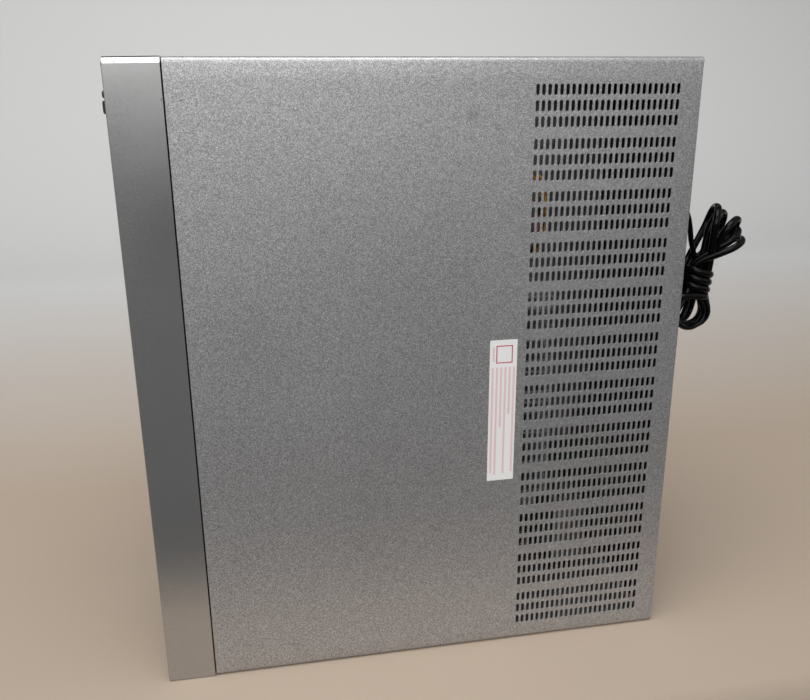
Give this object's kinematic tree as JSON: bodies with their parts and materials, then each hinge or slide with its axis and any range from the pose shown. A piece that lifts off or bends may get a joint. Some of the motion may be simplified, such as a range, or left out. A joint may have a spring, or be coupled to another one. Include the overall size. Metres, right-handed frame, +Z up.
{
  "type": "stereo receiver",
  "caption": "Silver hi-fi receiver standing on its end: slotted metal cover, drafted front panel with knobs and keys, rear terminals and a captive mains lead tied in a hank.",
  "frame": {"origin": "on the standing surface, under the middle of the unit's box without the mains lead", "axes": "+Z up along the unit's width, as it stands on its right-hand end; the front panel faces -X, the rear panel +X, the vented face of the cover -Y and the feet +Y"},
  "size_m": [0.4714, 0.159, 0.4318],
  "materials": {
    "cover_paint": "fine-grained metallic silver-grey paint, satin",
    "fascia_silver": "smooth silver paint on moulded plastic, satin",
    "control_silver": "silver, satin with a bright chamfer",
    "button_black": "black, semi-gloss",
    "window_acrylic": "smoked, polished",
    "display_glass": "clear glass",
    "zinc_steel": "zinc-plated sheet steel",
    "panel_black": "black, fine texture",
    "board_green": "green solder mask",
    "board_tan": "paper laminate",
    "aluminium": "extruded, satin",
    "core_steel": "varnished steel laminations",
    "winding_tape": "polyester tape over copper winding",
    "black_plastic": "moulded, fine grain",
    "cap_black": "fluted, semi-gloss",
    "capacitor_sleeve": "shrink sleeve",
    "jack_metal": "plated",
    "ribbon_grey": "flat ribbon cable",
    "wire_insulation": "soft insulation",
    "lead_black": "smooth soft black jacket",
    "label_paper": "printed film, satin",
    "label_print": "pale red ink",
    "insulator_red": "moulded ring",
    "insulator_white": "moulded ring",
    "wire_brown": "soft insulation",
    "wire_pink": "soft insulation"
  },
  "bodies": {
    "root": {"top_cover": "cover_paint", "low_screw_1": "cover_paint", "low_screw_2": "cover_paint", "high_screw_1": "cover_paint", "high_screw_2": "cover_paint", "front_fascia": "fascia_silver", "display_window": "window_acrylic", "display_tube": "display_glass", "mains_fuse": "display_glass", "chassis_base": "zinc_steel", "front_subframe": "zinc_steel", "volume_encoder": "zinc_steel", "input_encoder": "zinc_steel", "transformer_bracket": "zinc_steel", "tuner_module": "zinc_steel", "rear_panel": "panel_black", "front_board": "board_green", "input_board": "board_green", "power_supply_board": "board_tan", "amplifier_board": "board_tan", "heatsink": "aluminium", "aerial_socket": "aluminium", "transformer_core": "core_steel", "transformer_winding": "winding_tape", "power_switch": "black_plastic", "headphone_jack": "black_plastic", "speaker_relay": "black_plastic", "power_module_1": "black_plastic", "power_module_2": "black_plastic", "speaker_terminal_block": "black_plastic", "strain_relief": "black_plastic", "mains_plug": "black_plastic", "foot_1": "black_plastic", "foot_2": "black_plastic", "foot_3": "black_plastic", "foot_4": "black_plastic", "filter_capacitor_1": "capacitor_sleeve", "filter_capacitor_2": "capacitor_sleeve", "phono_jack_block": "jack_metal", "ribbon_cable": "ribbon_grey", "wire_harness": "wire_insulation", "mains_lead": "lead_black", "mains_hank": "lead_black", "plug_lead": "lead_black"},
    "volume_control": {"volume_knob": "control_silver", "volume_shaft": "aluminium"},
    "input_control": {"input_knob": "control_silver", "input_shaft": "aluminium"},
    "band_key": {"band_key": "control_silver"},
    "preset_down_key": {"preset_down_key": "control_silver"},
    "preset_up_key": {"preset_up_key": "control_silver"},
    "tone_key": {"tone_key": "control_silver"},
    "mode_key": {"mode_key": "control_silver"},
    "speaker_key": {"speaker_key": "control_silver"},
    "power_button": {"power_button": "button_black"},
    "standby_button": {"standby_button": "button_black"},
    "post_cap_1": {"post_cap_1": "cap_black"},
    "post_cap_2": {"post_cap_2": "cap_black"},
    "post_cap_3": {"post_cap_3": "cap_black"},
    "post_cap_4": {"post_cap_4": "cap_black"}
  },
  "joints": [
    {"name": "volume_turn", "type": "hinge", "parent": "root", "child": "volume_control", "pos_m": [-0.19445, 0.0045, 0.0624], "axis": [1, 0, 0], "continuous": true},
    {"name": "input_turn", "type": "hinge", "parent": "root", "child": "input_control", "pos_m": [-0.19445, 0.0045, 0.1184], "axis": [1, 0, 0], "continuous": true},
    {"name": "band_press", "type": "slide", "parent": "root", "child": "band_key", "axis": [1, 0, 0], "range_m": [0, 0.0008], "stiffness_N_per_m": 1500},
    {"name": "preset_down_press", "type": "slide", "parent": "root", "child": "preset_down_key", "axis": [1, 0, 0], "range_m": [0, 0.0008], "stiffness_N_per_m": 1500},
    {"name": "preset_up_press", "type": "slide", "parent": "root", "child": "preset_up_key", "axis": [1, 0, 0], "range_m": [0, 0.0008], "stiffness_N_per_m": 1500},
    {"name": "tone_press", "type": "slide", "parent": "root", "child": "tone_key", "axis": [1, 0, 0], "range_m": [0, 0.0008], "stiffness_N_per_m": 1500},
    {"name": "mode_press", "type": "slide", "parent": "root", "child": "mode_key", "axis": [1, 0, 0], "range_m": [0, 0.0008], "stiffness_N_per_m": 1500},
    {"name": "speaker_press", "type": "slide", "parent": "root", "child": "speaker_key", "axis": [1, 0, 0], "range_m": [0, 0.0008], "stiffness_N_per_m": 1500},
    {"name": "power_press", "type": "slide", "parent": "root", "child": "power_button", "axis": [1, 0, 0], "range_m": [0, 0.0035], "stiffness_N_per_m": 800},
    {"name": "standby_press", "type": "slide", "parent": "root", "child": "standby_button", "axis": [1, 0, 0], "range_m": [0, 0.0008], "stiffness_N_per_m": 1500},
    {"name": "post_cap_1_turn", "type": "hinge", "parent": "root", "child": "post_cap_1", "pos_m": [0.18385, -0.0175, 0.1584], "axis": [1, 0, 0], "range_deg": [0, 1170]},
    {"name": "post_cap_2_turn", "type": "hinge", "parent": "root", "child": "post_cap_2", "pos_m": [0.18385, -0.0175, 0.1774], "axis": [1, 0, 0], "range_deg": [0, 1170]},
    {"name": "post_cap_3_turn", "type": "hinge", "parent": "root", "child": "post_cap_3", "pos_m": [0.18385, 0.0015, 0.1584], "axis": [1, 0, 0], "range_deg": [0, 1170]},
    {"name": "post_cap_4_turn", "type": "hinge", "parent": "root", "child": "post_cap_4", "pos_m": [0.18385, 0.0015, 0.1774], "axis": [1, 0, 0], "range_deg": [0, 1170]}
  ]
}
